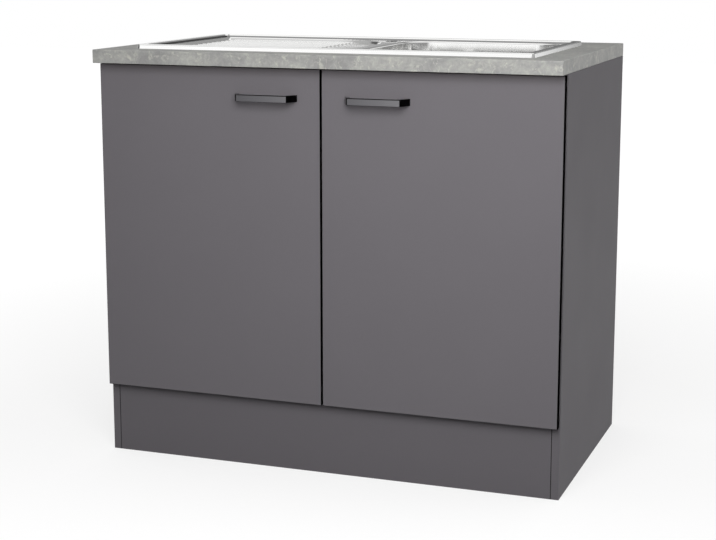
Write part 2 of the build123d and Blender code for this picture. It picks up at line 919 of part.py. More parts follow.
with BuildPart() as strainer_body:
    with Locations(waste_top):
        Cylinder(flange_radius, flange_thickness, align=UP)
        fillet(strainer_body.edges().group_by(Axis.Z)[-1], flange_thickness / 2)
        Cylinder(strainer_radius, thread_depth, align=DOWN)
        Cylinder(basket_bore + strainer_wall, strainer_depth, align=DOWN)
        Cylinder(neck_radius, -neck_end, align=DOWN)
    with Locations(waste_top * Location((0, 0, inlet_z), (-90, 0, 0))):
        Cylinder(hose_nozzle_radius, inlet_reach, align=UP)
    with Locations(waste_top * Pos(0, 0, flange_thickness)):
        Cylinder(
            strainer_radius - strainer_wall,
            flange_thickness + basket_seat_depth,
            align=DOWN,
            mode=Mode.SUBTRACT,
        )
    with Locations(waste_top):
        Cylinder(basket_bore, strainer_depth - strainer_wall, align=DOWN, mode=Mode.SUBTRACT)
        Cylinder(neck_bore, overcut - neck_end, align=DOWN, mode=Mode.SUBTRACT)
    with Locations(waste_top * Location((0, 0, inlet_z), (-90, 0, 0))):
        Cylinder(hose_nozzle_radius - hose_wall, inlet_reach + overcut, align=UP, mode=Mode.SUBTRACT)
strainer_body.part.label = "strainer_body"
export_step(strainer_body.part, "parts/strainer_body.step")

with BuildPart() as waste_gasket:
    with Locations(waste_top * Pos(0, 0, -sheet - gasket_thickness)):
        add(ring(gasket_radius, strainer_radius + seat_gap, gasket_thickness))
waste_gasket.part.label = "waste_gasket"
export_step(waste_gasket.part, "parts/waste_gasket.step")

with BuildPart() as waste_lock_ring:
    with Locations(waste_top * Pos(0, 0, -sheet - gasket_thickness - lock_ring_height)):
        add(ring(lock_ring_radius, strainer_radius + fit, lock_ring_height))
        with PolarLocations(lock_ring_radius, lock_ring_notches):
            Cylinder(lock_ring_height / 3, lock_ring_height, align=UP, mode=Mode.SUBTRACT)
waste_lock_ring.part.label = "waste_lock_ring"
export_step(waste_lock_ring.part, "parts/waste_lock_ring.step")

basket_outer = basket_bore - 2 * strainer_wall / 3
basket_top = -basket_seat_depth + strainer_wall
basket_bottom = -basket_seat_depth - basket_depth
basket_hole_pitch = basket_outer / (basket_hole_rows + 2)

with BuildPart() as strainer_basket:
    with Locations(waste_top * Pos(0, 0, basket_top)):
        Cylinder(strainer_radius - strainer_wall - seat_gap, strainer_wall, align=DOWN)
        Cylinder(basket_outer, basket_top - basket_bottom, align=DOWN)
        Cylinder(
            basket_outer - strainer_wall,
            basket_top - basket_bottom - strainer_wall,
            align=DOWN,
            mode=Mode.SUBTRACT,
        )
    with Locations(waste_top * Pos(0, 0, basket_bottom)):
        Cylinder(knob_stem_radius + fit, strainer_wall, align=UP, mode=Mode.SUBTRACT)
        for row in range(basket_hole_rows):
            with PolarLocations((row + 2) * basket_hole_pitch, basket_holes_in_first_row * (row + 2) // 2):
                Cylinder(basket_hole_radius, strainer_wall, align=UP, mode=Mode.SUBTRACT)
strainer_basket.part.label = "strainer_basket"
export_step(strainer_basket.part, "parts/strainer_basket.step")

with BuildPart() as basket_knob:
    with Locations(waste_top * Pos(0, 0, basket_bottom - stopper_thickness)):
        Cylinder(knob_stem_radius, basket_top - basket_bottom + stopper_thickness, align=UP)
    with Locations(waste_top * Pos(0, 0, basket_bottom + strainer_wall)):
        Cylinder(2 * knob_stem_radius, strainer_wall, align=UP)
    with Locations(waste_top * Pos(0, 0, basket_top)):
        Cylinder(knob_radius, -basket_top, align=UP)
    fillet(basket_knob.edges().group_by(Axis.Z)[-1], strainer_wall)
basket_knob.part.label = "basket_knob"
export_step(basket_knob.part, "parts/basket_knob.step")

with BuildPart() as basket_stopper:
    with Locations(waste_top * Pos(0, 0, basket_bottom - stopper_thickness)):
        add(ring(neck_bore + knob_stem_radius, knob_stem_radius + fit, stopper_thickness))
basket_stopper.part.label = "basket_stopper"
export_step(basket_stopper.part, "parts/basket_stopper.step")

# ---------------------------------------------------------------- overflow
elbow_place = overflow_place * Pos(0, 0, -sheet)
nozzle_y = overflow_wall_y + sheet + overflow_nozzle_set
nozzle_bottom = overflow_z - overflow_body_radius - 2 * hose_nozzle_length
overflow_screw_radius = handle_screw_radius

with BuildPart() as overflow_plate:
    with Locations(overflow_place):
        Cylinder(overflow_plate_radius, sheet, align=UP)
        fillet(overflow_plate.edges().filter_by(GeomType.CIRCLE), sheet / 3)
        Cylinder(overflow_screw_radius + fit, sheet, align=UP, mode=Mode.SUBTRACT)
        with PolarLocations(overflow_plate_hole_ring, overflow_plate_holes):
            Cylinder(hose_wall, sheet, align=UP, mode=Mode.SUBTRACT)
overflow_plate.part.label = "overflow_plate"
export_step(overflow_plate.part, "parts/overflow_plate.step")

with BuildPart() as overflow_elbow:
    with Locations(elbow_place):
        Cylinder(overflow_plate_radius + hose_wall, 2 * hose_wall, align=DOWN)
        Cylinder(overflow_body_radius, overflow_body_length, align=DOWN)
    with Locations((bowl_centre[0], nozzle_y, nozzle_bottom)):
        Cylinder(hose_nozzle_radius, overflow_z - nozzle_bottom, align=UP)
    with Locations(elbow_place):
        Cylinder(
            overflow_body_radius - hose_wall,
            overflow_body_length - hose_wall,
            align=DOWN,
            mode=Mode.SUBTRACT,
        )
    with Locations((bowl_centre[0], nozzle_y, nozzle_bottom)):
        Cylinder(
            hose_nozzle_radius - hose_wall,
            overflow_z - nozzle_bottom,
            align=UP,
            mode=Mode.SUBTRACT,
        )
    with Locations(elbow_place * Pos(0, 0, -overflow_body_length)):
        Cylinder(2 * overflow_screw_radius, overflow_body_length / 2, align=UP)
        Cylinder(
            overflow_screw_radius + fit,
            overflow_body_length / 2,
            align=UP,
            mode=Mode.SUBTRACT,
        )
overflow_elbow.part.label = "overflow_elbow"
export_step(overflow_elbow.part, "parts/overflow_elbow.step")

with BuildPart() as overflow_screw:
    with Locations(overflow_place * Pos(0, 0, sheet)):
        add(
            screw(
                overflow_screw_radius,
                overflow_screw_length,
                2 * overflow_screw_radius,
                board_screw_head_height,
            )
        )
overflow_screw.part.label = "overflow_screw"
export_step(overflow_screw.part, "parts/overflow_screw.step")

hose_inner = hose_nozzle_radius + fit
hose_outer = hose_inner + hose_wall
hose_low_z = bowl_floor + inlet_z
hose_end_y = bowl_centre[1] + strainer_radius + seat_gap
hose_start_z = overflow_z - overflow_body_radius - 2 * hose_wall

with BuildPart() as overflow_pipe:
    add(
        tube(
            [
                (bowl_centre[0], nozzle_y, hose_start_z),
                (bowl_centre[0], nozzle_y, hose_low_z),
                (bowl_centre[0], hose_end_y, hose_low_z),
            ],
            hose_bend_radius,
            hose_outer,
            hose_inner,
        )
    )
overflow_pipe.part.label = "overflow_pipe"
export_step(overflow_pipe.part, "parts/overflow_pipe.step")

# ---------------------------------------------------------------- trap
pipe_bore = pipe_radius - pipe_wall
trap_x, trap_in_y = bowl_centre
trap_out_y = trap_in_y + 2 * trap_bend_radius
trap_low_z = trap_joint_height - trap_leg
collar_base = trap_joint_height - collar_height / 2
outlet_z = trap_joint_height + trap_rise + trap_bend_radius
neck_end_z = bowl_floor + neck_end
collar_bore = pipe_radius + fit
collar_radius = neck_radius

with BuildPart() as trap_inlet_pipe:
    with Locations((trap_x, trap_in_y, trap_joint_height)):
        add(ring(pipe_radius, pipe_bore, neck_end_z + neck_length / 2 - trap_joint_height))
trap_inlet_pipe.part.label = "trap_inlet_pipe"
export_step(trap_inlet_pipe.part, "parts/trap_inlet_pipe.step")

with BuildPart() as trap_bend:
    for leg_y in (trap_in_y, trap_out_y):
        with Locations((trap_x, leg_y, trap_low_z)):
            add(ring(pipe_radius, pipe_bore, trap_joint_height - trap_low_z))
        with Locations((trap_x, leg_y, collar_base)):
            add(ring(collar_radius, collar_bore - fit, collar_height / 2))
        with Locations((trap_x, leg_y, trap_joint_height)):
            add(ring(collar_radius, collar_bore, collar_height / 2))
    with BuildSketch(Plane(origin=(trap_x, trap_in_y, trap_low_z), x_dir=(1, 0, 0), z_dir=(0, 0, 1))):
        Circle(pipe_radius)
        Circle(pipe_bore, mode=Mode.SUBTRACT)
    turn_axis = Axis((trap_x, trap_in_y + trap_bend_radius, trap_low_z), (1, 0, 0))
    revolve(axis=turn_axis, revolution_arc=180)
trap_bend.part.label = "trap_bend"
export_step(trap_bend.part, "parts/trap_bend.step")

with BuildPart() as trap_outlet_pipe:
    add(
        tube(
            [
                (trap_x, trap_out_y, trap_joint_height),
                (trap_x, trap_out_y, outlet_z),
                (trap_x, back_y, outlet_z),
            ],
            trap_bend_radius,
            pipe_radius,
            pipe_bore,
        )
    )
trap_outlet_pipe.part.label = "trap_outlet_pipe"
export_step(trap_outlet_pipe.part, "parts/trap_outlet_pipe.step")


def slip_nut():
    """A slip nut: its thread reaches down from the origin, its lip closes round the pipe above."""
    with BuildPart() as made:
        Cylinder(nut_radius, nut_height, align=DOWN)
        Cylinder(nut_radius - nut_lip / 2, nut_lip, align=UP)
        Cylinder(collar_radius + fit, nut_height, align=DOWN, mode=Mode.SUBTRACT)
        Cylinder(pipe_radius + fit, nut_lip, align=UP, mode=Mode.SUBTRACT)
        with PolarLocations(nut_radius + nut_lip / 2, nut_grips):
            Cylinder(nut_lip, nut_height, align=DOWN, mode=Mode.SUBTRACT)
    return made.part


with BuildPart() as trap_inlet_nut:
    with Locations(Location((trap_x, trap_in_y, neck_end_z), (180, 0, 0))):
        add(slip_nut())
trap_inlet_nut.part.label = "trap_inlet_nut"
export_step(trap_inlet_nut.part, "parts/trap_inlet_nut.step")

with BuildPart() as trap_bend_nuts:
    nut_z = trap_joint_height + collar_height / 2
    with Locations((trap_x, trap_in_y, nut_z), (trap_x, trap_out_y, nut_z)):
        add(slip_nut())
trap_bend_nuts.part.label = "trap_bend_nuts"
export_step(trap_bend_nuts.part, "parts/trap_bend_nuts.step")


# ---------------------------------------------------------------- hinges, cabinet side
def bar(start, end, width):
    """A round-ended bar between two points of the sketch."""
    with Locations(((start[0] + end[0]) / 2, (start[1] + end[1]) / 2)):
        SlotCenterToCenter(
            hypot(end[0] - start[0], end[1] - start[1]),
            width,
            rotation=degrees(atan2(end[1] - start[1], end[0] - start[0])),
        )


def hinge_plate(sign, z):
    """A cross-shaped mounting plate with the block that the arm clips over."""
    plate_back = -plate_setback - plate_length / 2
    plate_front = -plate_setback + plate_length / 2
    with BuildPart() as made:
        with BuildSketch(hinge_plane(sign, z)):
            with Locations((panel_thickness + plate_base / 2, (plate_back + plate_front) / 2)):
                Rectangle(plate_base, plate_length)
        extrude(amount=plate_half_height, both=True)
        with BuildSketch(hinge_plane(sign, z)):
            with Locations((panel_thickness + plate_base / 2, -plate_setback)):
                Rectangle(plate_base, plate_wing_width)
        extrude(amount=plate_wing_half_height, both=True)
        with BuildSketch(hinge_plane(sign, z)):
            block_height = arm_skin - panel_thickness - plate_base
            with Locations((arm_skin - block_height / 2, (plate_back + plate_front) / 2)):
                Rectangle(block_height, plate_length - 2 * plate_block_margin)
        extrude(amount=link_half_height, both=True)
        bores(plate_screw_places(sign), board_screw_radius + fit, plate_base)
    return made.part


def hinge_arm(sign, z):
    """A channel-shaped arm whose two cheeks carry the pin in front of the cabinet's edge."""
    straight = arm_length - arm_shoulder
    straight_middle = -(arm_length + arm_shoulder) / 2
    with BuildPart() as made:
        for face in (-cheek_outside, cheek_inside):
            with BuildSketch(hinge_plane(sign, z).offset(face)):
                with Locations((arm_outer - arm_width / 2, straight_middle)):
                    Rectangle(arm_width, straight)
                Polygon(
                    (arm_inner, -arm_shoulder - fit),
                    (arm_outer, -arm_shoulder - fit),
                    (arm_pin[0] + arm_tip_radius, arm_pin[1]),
                    (arm_pin[0] - arm_tip_radius, arm_pin[1]),
                    align=None,
                )
                with Locations(arm_pin):
                    Circle(arm_tip_radius)
                    Circle(pin_radius + pin_fit, mode=Mode.SUBTRACT)
            extrude(amount=arm_cheek)
        with BuildSketch(hinge_plane(sign, z)):
            with Locations((arm_outer - arm_cheek / 2, straight_middle)):
                Rectangle(arm_cheek, straight)
        extrude(amount=cheek_outside, both=True)
    return made.part


def hinge_link(sign, z):
    """The knee-shaped link between the arm's pin and the cup's pin."""
    with BuildPart() as made:
        with BuildSketch(hinge_plane(sign, z)):
            bar(arm_pin, knee, link_thickness)
            bar(knee, cup_pin, link_thickness)
            for point, boss in ((arm_pin, link_arm_boss), (cup_pin, link_cup_boss)):
                with Locations(point):
                    Circle(boss)
            with Locations(arm_pin, cup_pin):
                Circle(pin_radius + pin_fit, mode=Mode.SUBTRACT)
        extrude(amount=link_half_height, both=True)
    return made.part


def hinge_pin(sign, z, point, half_length):
    """An upright pin through one of the hinge's pivots."""
    with BuildPart() as made:
        with BuildSketch(hinge_plane(sign, z)):
            with Locations(point):
                Circle(pin_radius)
        extrude(amount=half_length, both=True)
    return made.part


cup_bore = cup_radius - cup_wall
cup_pin_reach = cup_centre - cup_pin[0] + pin_radius
cup_pin_half_length = ((cup_bore - fit) ** 2 - cup_pin_reach**2) ** 0.5

for side, sign in SIDES:
    with BuildPart() as hinge_plates:
        for z in hinge_heights:
            add(hinge_plate(sign, z))
    hinge_plates.part.label = f"{side}_hinge_plates"
    export_step(hinge_plates.part, f"parts/{side}_hinge_plates.step")

    with BuildPart() as hinge_arms:
        for z in hinge_heights:
            add(hinge_arm(sign, z))
    hinge_arms.part.label = f"{side}_hinge_arms"
    export_step(hinge_arms.part, f"parts/{side}_hinge_arms.step")

    with BuildPart() as hinge_links:
        for z in hinge_heights:
            add(hinge_link(sign, z))
    hinge_links.part.label = f"{side}_hinge_links"
    export_step(hinge_links.part, f"parts/{side}_hinge_links.step")

    with BuildPart() as cup_pins:
        for z in hinge_heights:
            add(hinge_pin(sign, z, cup_pin, cup_pin_half_length))
    cup_pins.part.label = f"{side}_cup_pins"
    export_step(cup_pins.part, f"parts/{side}_cup_pins.step")

with BuildPart() as arm_pins:
    for side, sign in SIDES:
        for z in hinge_heights:
            add(hinge_pin(sign, z, arm_pin, cheek_outside))
arm_pins.part.label = "arm_pins"
export_step(arm_pins.part, "parts/arm_pins.step")

plate_screw = screw(
    board_screw_radius,
    plate_base + board_screw_bite,
    board_screw_head,
    board_screw_head_height,
)

with BuildPart() as hinge_plate_screws:
    for side, sign in SIDES:
        with Locations(*plate_screw_places(sign)):
            add(plate_screw)
hinge_plate_screws.part.label = "hinge_plate_screws"
export_step(hinge_plate_screws.part, "parts/hinge_plate_screws.step")


# ---------------------------------------------------------------- doors
def door_panel(sign):
    """One door board with its cup, screw and handle bores."""
    with BuildPart() as made:
        block(
            (sign * door_inner_x, sign * door_outer_x),
            (door_front_y, door_back_y),
            (door_bottom, door_top),
        )
        fillet(made.faces().sort_by(Axis.Y)[0].edges(), door_edge_rounding)
        bores(cup_places(sign, hinge_heights), cup_radius + fit, cup_depth + fit)
        bores(
            cup_screw_places(sign),
            board_screw_radius + fit,
            cup_flange_thickness + board_screw_bite + seat_gap,
        )
        bores(handle_screw_places(sign), handle_screw_radius + 2 * fit, door_thickness)
    return made.part


def hinge_cup(sign, z):
    """A hinge cup sunk in the door, with the flange that its two screws hold."""
    with BuildPart() as made:
        with Locations(cup_places(sign, [z])):
            Cylinder(cup_radius, cup_depth, align=DOWN)
            Cylinder(cup_radius + cup_rim, cup_flange_thickness, align=UP)
        ear_x = (sign * (cup_x + cup_ear_overlap), sign * (cup_x - cup_ear_reach))
        block(
            ear_x,
            (door_back_y, door_back_y + cup_flange_thickness),
            (z - cup_ear_half_height, z + cup_ear_half_height),
        )
        with Locations(raised(cup_places(sign, [z]), cup_flange_thickness)):
            Cylinder(
                cup_bore,
                cup_depth + cup_flange_thickness - cup_wall,
                align=DOWN,
                mode=Mode.SUBTRACT,
            )
        bores(cup_screw_places(sign), board_screw_radius + fit, cup_flange_thickness)
    return made.part


def handle(sign):
    """A flat bow handle whose two legs slant outwards to their feet on the door."""
    foot_outer = handle_hole_spacing / 2 + handle_foot_width / 2
    foot_inner = handle_hole_spacing / 2 - handle_foot_width / 2
    bar_outer = handle_bar_length / 2
    slant = (foot_outer - bar_outer) / handle_projection
    inner_depth = handle_projection - handle_bar_thickness
    bar_inner = foot_inner - slant * inner_depth
    with BuildPart() as made:
        with BuildSketch(
            Plane(
                origin=(sign * handle_x, door_front_y, handle_z),
                x_dir=(1, 0, 0),
                z_dir=(0, 0, 1),
            )
        ) as profile:
            Polygon(
                (-foot_outer, 0),
                (-bar_outer, -handle_projection),
                (bar_outer, -handle_projection),
                (foot_outer, 0),
                align=None,
            )
            Polygon(
                (-foot_inner, 0),
                (-bar_inner, -inner_depth),
                (bar_inner, -inner_depth),
                (foot_inner, 0),
                align=None,
                mode=Mode.SUBTRACT,
            )
        extrude(amount=handle_height / 2, both=True)
        upright = made.edges().filter_by(Axis.Z)
        fillet(upright.group_by(Axis.Y)[0], handle_rounding)
        fillet(made.faces().sort_by(Axis.Y)[0].edges(), handle_edge_rounding)
        for side in (-1, 1):
            foot_x = sign * handle_x + side * handle_hole_spacing / 2
            bores(
                [facing((foot_x, door_front_y, handle_z), (0, 1, 0))],
                handle_screw_radius + fit,
                handle_screw_bite + seat_gap,
            )
    return made.part


cup_screw = screw(
    board_screw_radius,
    cup_flange_thickness + board_screw_bite,
    board_screw_head,
    board_screw_head_height,
)
handle_screw = screw(
    handle_screw_radius,
    door_thickness + handle_screw_bite,
    2 * handle_screw_radius,
    board_screw_head_height,
)
buffer_thickness = door_standoff - seat_gap
buffer_inset = buffer_radius + buffer_margin
buffer_heights = (door_bottom + buffer_inset, door_top - buffer_inset)

for side, sign in SIDES:
    with BuildPart() as door:
        add(door_panel(sign))
    door.part.label = f"{side}_door"
    export_step(door.part, f"parts/{side}_door.step")

    with BuildPart() as hinge_cups:
        for z in hinge_heights:
            add(hinge_cup(sign, z))
    hinge_cups.part.label = f"{side}_hinge_cups"
    export_step(hinge_cups.part, f"parts/{side}_hinge_cups.step")

    with BuildPart() as cup_screws:
        with Locations(*cup_screw_places(sign)):
            add(cup_screw)
    cup_screws.part.label = f"{side}_cup_screws"
    export_step(cup_screws.part, f"parts/{side}_cup_screws.step")

    with BuildPart() as door_handle:
        add(handle(sign))
    door_handle.part.label = f"{side}_handle"
    export_step(door_handle.part, f"parts/{side}_handle.step")

    with BuildPart() as handle_screws:
        with Locations(*handle_screw_places(sign)):
            add(handle_screw)
    handle_screws.part.label = f"{side}_handle_screws"
    export_step(handle_screws.part, f"parts/{side}_handle_screws.step")

    with BuildPart() as door_buffers:
        buffer_x = sign * (door_inner_x + buffer_inset)
        with Locations(*[facing((buffer_x, door_back_y, z), (0, 1, 0)) for z in buffer_heights]):
            Cylinder(buffer_radius, buffer_thickness, align=UP)
        fillet(door_buffers.edges().group_by(Axis.Y)[-1], buffer_thickness / 3)
    door_buffers.part.label = f"{side}_door_buffers"
    export_step(door_buffers.part, f"parts/{side}_door_buffers.step")
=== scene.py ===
"""Looks of the kitchen sink unit: materials, thin trim, floor, light and camera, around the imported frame."""

import json
import math

import bmesh
import bpy
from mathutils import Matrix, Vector


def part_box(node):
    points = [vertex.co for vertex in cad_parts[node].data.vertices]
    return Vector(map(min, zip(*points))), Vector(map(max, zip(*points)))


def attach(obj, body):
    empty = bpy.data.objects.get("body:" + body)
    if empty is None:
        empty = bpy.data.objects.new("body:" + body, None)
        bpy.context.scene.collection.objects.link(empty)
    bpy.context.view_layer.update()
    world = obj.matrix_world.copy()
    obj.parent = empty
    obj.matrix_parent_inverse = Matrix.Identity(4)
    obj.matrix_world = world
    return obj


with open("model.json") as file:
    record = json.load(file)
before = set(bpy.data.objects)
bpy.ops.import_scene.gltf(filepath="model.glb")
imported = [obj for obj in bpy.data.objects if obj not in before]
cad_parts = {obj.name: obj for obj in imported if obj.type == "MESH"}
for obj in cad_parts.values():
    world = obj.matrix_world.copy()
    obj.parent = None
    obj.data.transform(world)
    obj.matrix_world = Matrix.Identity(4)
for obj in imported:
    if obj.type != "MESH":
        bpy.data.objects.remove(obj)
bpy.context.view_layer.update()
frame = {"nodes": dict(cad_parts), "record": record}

NODES = frame["nodes"]
SCENE = bpy.context.scene
MM = 0.001

# sizes of the trim and of painted light: painted shade in the rim's crease, strips of painted dark reflection
# on the handles, black edge strips of painted shade on the doors and plinth ends; and how squarely a face has
# to look outwards to get a band
# painted shade in the rim's crease: full up to the first height over the deck, gone by the second
RIM_RISE = 5 * MM
CREASE_SHADE_FULL = 2.2 * MM
CREASE_SHADE_END = 3.0 * MM
# strips of painted dark reflection on the handles' flat fronts: along the top edge, and around the left end
HANDLE_TOP_DARK_REFLECTION = 1.6 * MM
HANDLE_END_DARK_REFLECTION = 2.6 * MM
HANDLE_FLAT = 112 * MM
BAND_DEPTH = 1.2 * MM
BAND_FACING = 0.3
# thickness of the black band of painted shade round the door edges
DOOR_SHADE_BAND = 0.2 * MM
# thickness of the black lip of painted shade in the plinth's end gaps
PLINTH_SHADE_LIP = 1.2 * MM
WELD = 0.01 * MM

# depths of the relief in the materials
SAW_RELIEF = 0.25 * MM
PEARL_RELIEF = 0.05 * MM
CONCRETE_RELIEF = 0.06 * MM
POLISH_RELIEF = 0.003 * MM
FIBRE_RELIEF = 0.12 * MM
PORE_RELIEF = 0.1 * MM

# the darker and paler of two mixed tones as shares of the colour, and how much rougher a sawn edge is
BOARD_DARKER, BOARD_PALER = 0.985, 1.015
METAL_DARKER = 0.93
PLASTIC_DARKER = 0.92
SAW_ROUGHNESS = 0.35

WHITE = (1, 1, 1, 1)


# ---------------------------------------------------------------- material building
def srgb(*values):
    """Linear colour of 8-bit display values."""
    linear = []
    for value in values:
        v = value / 255
        linear.append(v / 12.92 if v <= 0.04045 else ((v + 0.055) / 1.055) ** 2.4)
    return (*linear, 1.0) if len(linear) == 3 else (linear[0],) * 3 + (1.0,)


def scaled(colour, factor):
    """A colour with its channels multiplied by a factor."""
    return tuple(channel * factor for channel in colour[:3]) + (1.0,)


class Shade:
    """One node material with a Principled shader, built step by step in object coordinates."""

    def __init__(self, name, **fixed):
        self.material = bpy.data.materials.new(name)
        self.material.use_nodes = True
        self.tree = self.material.node_tree
        self.tree.nodes.clear()
        out = self.tree.nodes.new("ShaderNodeOutputMaterial")
        self.shader = self.tree.nodes.new("ShaderNodeBsdfPrincipled")
        self.tree.links.new(self.shader.outputs[0], out.inputs["Surface"])
        for key, value in fixed.items():
            self.shader.inputs[key.replace("_", " ")].default_value = value
        coordinates = self.tree.nodes.new("ShaderNodeTexCoord")
        self.place = coordinates.outputs["Object"]
        self.facing = coordinates.outputs["Normal"]

    def feed(self, socket, value):
        if isinstance(value, bpy.types.NodeSocket):
            self.tree.links.new(value, socket)
        else:
            socket.default_value = value

    def node(self, kind, inputs=(), **settings):
        made = self.tree.nodes.new("ShaderNode" + kind)
        for key, value in settings.items():
            setattr(made, key, value)
        for key, value in dict(inputs).items():
            self.feed(made.inputs[key], value)
        return made

    def stretched(self, x, y, z):
        return self.node("Mapping", {"Vector": self.place, "Scale": (x, y, z)}).outputs[0]

    def noise(self, scale, detail, rough, vector=None, warp=0.0):
        inputs = {
            "Vector": vector or self.place,
            "Scale": scale,
            "Detail": detail,
            "Roughness": rough,
            "Distortion": warp,
        }
        return self.node("TexNoise", inputs).outputs["Fac"]

    def cells(self, scale, vector=None):
        return self.node("TexVoronoi", {"Vector": vector or self.place, "Scale": scale})

    def ramp(self, factor, *stops):
        made = self.node("ValToRGB", {"Fac": factor})
        elements = made.color_ramp.elements
        while len(elements) < len(stops):
            elements.new(0.5)
        for element, (position, colour) in zip(elements, stops):
            element.position = position
            element.color = colour
        return made.outputs["Color"]

    def span(self, value, low, high, to_low=0.0, to_high=1.0):
        inputs = {"Value": value, "From Min": low, "From Max": high, "To Min": to_low, "To Max": to_high}
        return self.node("MapRange", inputs).outputs["Result"]

    def math(self, operation, *values):
        made = self.node("Math", operation=operation)
        for socket, value in zip(made.inputs, values):
            self.feed(socket, value)
        return made.outputs[0]

    def mix(self, factor, a, b, blend="MIX"):
        made = self.node("Mix", data_type="RGBA", blend_type=blend)
        self.feed(made.inputs["Factor"], factor)
        for socket, value in zip([s for s in made.inputs if s.type == "RGBA"], (a, b)):
            self.feed(socket, value)
        return next(s for s in made.outputs if s.type == "RGBA")

    def axis(self, source, letter):
        return self.node("SeparateXYZ", {"Vector": source}).outputs[letter]

    def bump(self, height, distance, strength, under=None):
        inputs = {"Height": height, "Distance": distance, "Strength": strength}
        if under is not None:
            inputs["Normal"] = under
        return self.node("Bump", inputs).outputs["Normal"]

    def set(self, **values):
        for key, value in values.items():
            self.feed(self.shader.inputs[key.replace("_", " ")], value)
        return self.material


def cut_edges(s, *axes, least=0.7):
    """1 on faces that look along the named axes, such as "+Y" or "-Z", and 0 elsewhere."""
    total = None
    for axis in axes:
        part = s.axis(s.facing, axis[1])
        if axis[0] == "-":
            part = s.math("MULTIPLY", part, -1.0)
        part = s.math("GREATER_THAN", part, least)
        total = part if total is None else s.math("MAXIMUM", total, part)
    return total


def chipboard_colour(s):
    """Colour and height of a sawn chipboard edge: pressed flakes, fine at the faces."""
    flakes = s.cells(420.0, s.stretched(0.45, 0.45, 1.0))
    tone = s.ramp(
        s.axis(flakes.outputs["Color"], "X"),
        (0.0, srgb(120, 88, 56)),
        (0.35, srgb(176, 138, 96)),
        (0.7, srgb(206, 172, 128)),
        (1.0, srgb(226, 200, 158)),
    )
    dust = s.noise(1500.0, 4.0, 0.7)
    tone = s.mix(s.span(dust, 0.35, 0.7), tone, s.mix(0.6, tone, srgb(92, 68, 44)))
    height = s.math("ADD", flakes.outputs["Distance"], dust)
    return tone, height


def sawn(s, cuts, tint, rough, normal):
    """Colour, roughness and relief with bare chipboard on the faces that look along the named axes."""
    raw = cut_edges(s, *cuts)
    wood, height = chipboard_colour(s)
    tint = s.mix(raw, tint, wood)
    rough = s.math("ADD", rough, s.math("MULTIPLY", raw, SAW_ROUGHNESS))
    normal = s.bump(s.math("MULTIPLY", height, raw), SAW_RELIEF, 0.6, normal)
    return tint, rough, normal


def board(name, colour, cuts=(), shade_edges=()):
    """Melamine-faced chipboard: pearl print on the faces, sawn chipboard on cut edges, and near black as
    painted shade on the edges named for it.
    """
    s = Shade(name, IOR=1.45, Specular_IOR_Level=0.14)
    cloud = s.noise(5.0, 4.0, 0.6)
    grain = s.noise(900.0, 3.0, 0.6)
    speck = s.noise(2600.0, 2.0, 0.5)
    tint = s.mix(s.span(cloud, 0.3, 0.7), scaled(colour, BOARD_DARKER), scaled(colour, BOARD_PALER))
    tint = s.mix(
        s.span(grain, 0.25, 0.75),
        s.mix(1.0, tint, srgb(247), "MULTIPLY"),
        s.mix(1.0, tint, scaled(WHITE, 1.035), "MULTIPLY"),
    )
    rough = s.span(s.math("ADD", cloud, grain), 0.6, 1.4, 0.5, 0.62)
    pearls = s.math("ADD", s.math("MULTIPLY", grain, 0.6), speck)
    normal = s.bump(pearls, PEARL_RELIEF, 0.35)
    if cuts:
        tint, rough, normal = sawn(s, cuts, tint, rough, normal)
    if shade_edges:
        # painted shade: the named edge faces are coloured near black
        black = s.ramp(grain, (0.3, srgb(6)), (0.7, srgb(12)))
        tint = s.mix(cut_edges(s, *shade_edges, least=0.3), tint, black)
    return s.set(Base_Color=tint, Roughness=rough, Normal=normal)


def concrete(name, shade, cuts=()):
    """Laminate printed as trowelled concrete: broad clouds, pale lime patches and fine pores, all multiplied
    by a factor of painted light and shade.
    """
    s = Shade(name, IOR=1.45, Specular_IOR_Level=0.42)
    cloud = s.noise(7.0, 6.0, 0.6, warp=0.4)
    patch = s.noise(52.0, 6.0, 0.66, warp=0.6)
    fleck = s.noise(190.0, 5.0, 0.7)
    fine = s.noise(1100.0, 3.0, 0.6)
    tone = s.ramp(
        s.math("ADD", s.math("MULTIPLY", cloud, 0.45), s.math("MULTIPLY", patch, 0.55)),
        (0.38, srgb(138, 138, 137)),
        (0.47, srgb(154, 154, 152)),
        (0.54, srgb(166, 166, 162)),
        (0.64, srgb(184, 184, 178)),
    )
    lime = s.span(s.noise(66.0, 5.0, 0.7, warp=0.9), 0.55, 0.66)
    tone = s.mix(s.math("MULTIPLY", lime, 0.75), tone, srgb(206, 205, 194))
    tone = s.mix(s.span(fleck, 0.42, 0.62, 0.0, 0.3), tone, srgb(130, 130, 129))
    tone = s.mix(s.span(fine, 0.3, 0.7, 0.0, 0.18), tone, srgb(206, 206, 202))
    pores = s.cells(260.0)
    open_pore = s.math("LESS_THAN", pores.outputs["Distance"], s.span(fleck, 0.4, 0.8, 0.02, 0.17))
    tone = s.mix(s.math("MULTIPLY", open_pore, 0.4), tone, srgb(112, 112, 110))
    # painted light and shade: the whole tone is multiplied by the given factor
    tone = s.mix(1.0, tone, scaled(WHITE, shade), "MULTIPLY")
    rough = s.span(s.math("ADD", patch, fleck), 0.7, 1.3, 0.42, 0.58)
    height = s.math("SUBTRACT", s.math("MULTIPLY", fleck, 0.8), s.math("MULTIPLY", open_pore, 0.5))
    normal = s.bump(s.math("ADD", height, s.math("MULTIPLY", fine, 0.4)), CONCRETE_RELIEF, 0.5)
    if cuts:
        tone, rough, normal = sawn(s, cuts, tone, rough, normal)
    return s.set(Base_Color=tone, Roughness=rough, Normal=normal)


